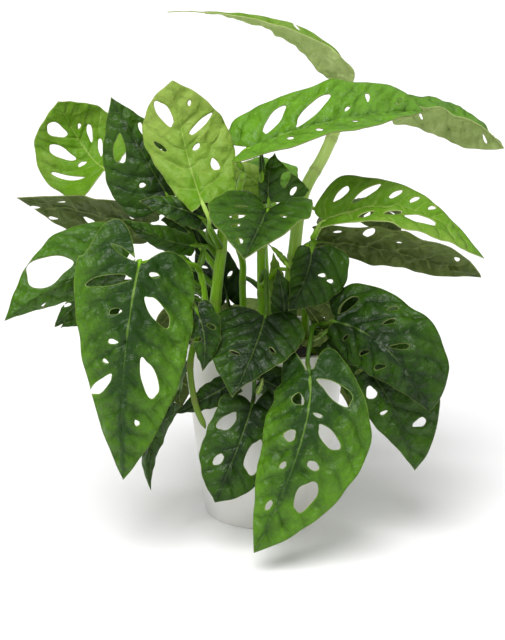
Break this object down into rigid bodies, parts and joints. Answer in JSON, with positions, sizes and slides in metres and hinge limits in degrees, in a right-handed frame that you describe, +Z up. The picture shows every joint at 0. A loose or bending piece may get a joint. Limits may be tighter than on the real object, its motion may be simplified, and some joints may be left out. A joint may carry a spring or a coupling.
{
  "type": "potted Swiss cheese vine",
  "caption": "Bushy Monstera adansonii with holed, heart-shaped leaves on green stalks, rooted in potting soil in a plain tapered white pot.",
  "frame": {"origin": "centre of the flat foot of the pot, on the surface that the pot stands on", "axes": "+Z up the pot's axis; the plant's front, as pictured, faces -Y; +X is to the right of that view"},
  "size_m": [0.435, 0.304, 0.4521],
  "materials": {
    "glazed_white": "satin white glaze",
    "potting_soil": "dark bark compost",
    "green_stem": "smooth green bark",
    "leaf_dark": "waxy dark green leaf",
    "leaf_mid": "waxy green leaf",
    "leaf_light": "waxy yellow-green young leaf"
  },
  "bodies": {
    "root": {"pot": "glazed_white", "soil": "potting_soil", "vine_left": "green_stem", "vine_front_left": "green_stem", "vine_centre": "green_stem", "vine_back": "green_stem", "vine_right": "green_stem", "vine_mid_right": "green_stem", "vine_far_right": "green_stem", "vine_trailing": "green_stem", "vine_rear": "green_stem", "leaf_top_arc": "leaf_light", "leaf_top_bow": "leaf_mid", "leaf_top_right": "leaf_light", "leaf_left_bright": "leaf_light", "leaf_left_dark": "leaf_dark", "leaf_bright_up": "leaf_light", "leaf_small_dark": "leaf_dark", "leaf_left_under": "leaf_dark", "leaf_left_hole": "leaf_mid", "leaf_left_curl": "leaf_dark", "leaf_front_left": "leaf_mid", "leaf_dull_back": "leaf_mid", "leaf_rolled": "leaf_mid", "leaf_centre_twist": "leaf_dark", "leaf_centre_back": "leaf_dark", "leaf_centre_heart": "leaf_dark", "leaf_centre_tip": "leaf_dark", "leaf_centre_right": "leaf_dark", "leaf_right_bright": "leaf_light", "leaf_right_dark": "leaf_dark", "leaf_right_low": "leaf_mid", "leaf_right_under": "leaf_dark", "leaf_front_low": "leaf_mid", "leaf_low_centre": "leaf_dark", "leaf_small_left": "leaf_dark", "leaf_low_curl": "leaf_dark", "leaf_low_back": "leaf_dark", "leaf_pale_back": "leaf_light", "leaf_dark_back": "leaf_dark", "leaf_thin_pale": "leaf_light", "leaf_rear_low_left": "leaf_dark", "leaf_rear_low_right": "leaf_dark", "leaf_rear_middle": "leaf_dark", "leaf_rear_up_left": "leaf_mid", "leaf_rear_up_right": "leaf_mid", "leaf_rear_top": "leaf_mid"}
  },
  "joints": []
}
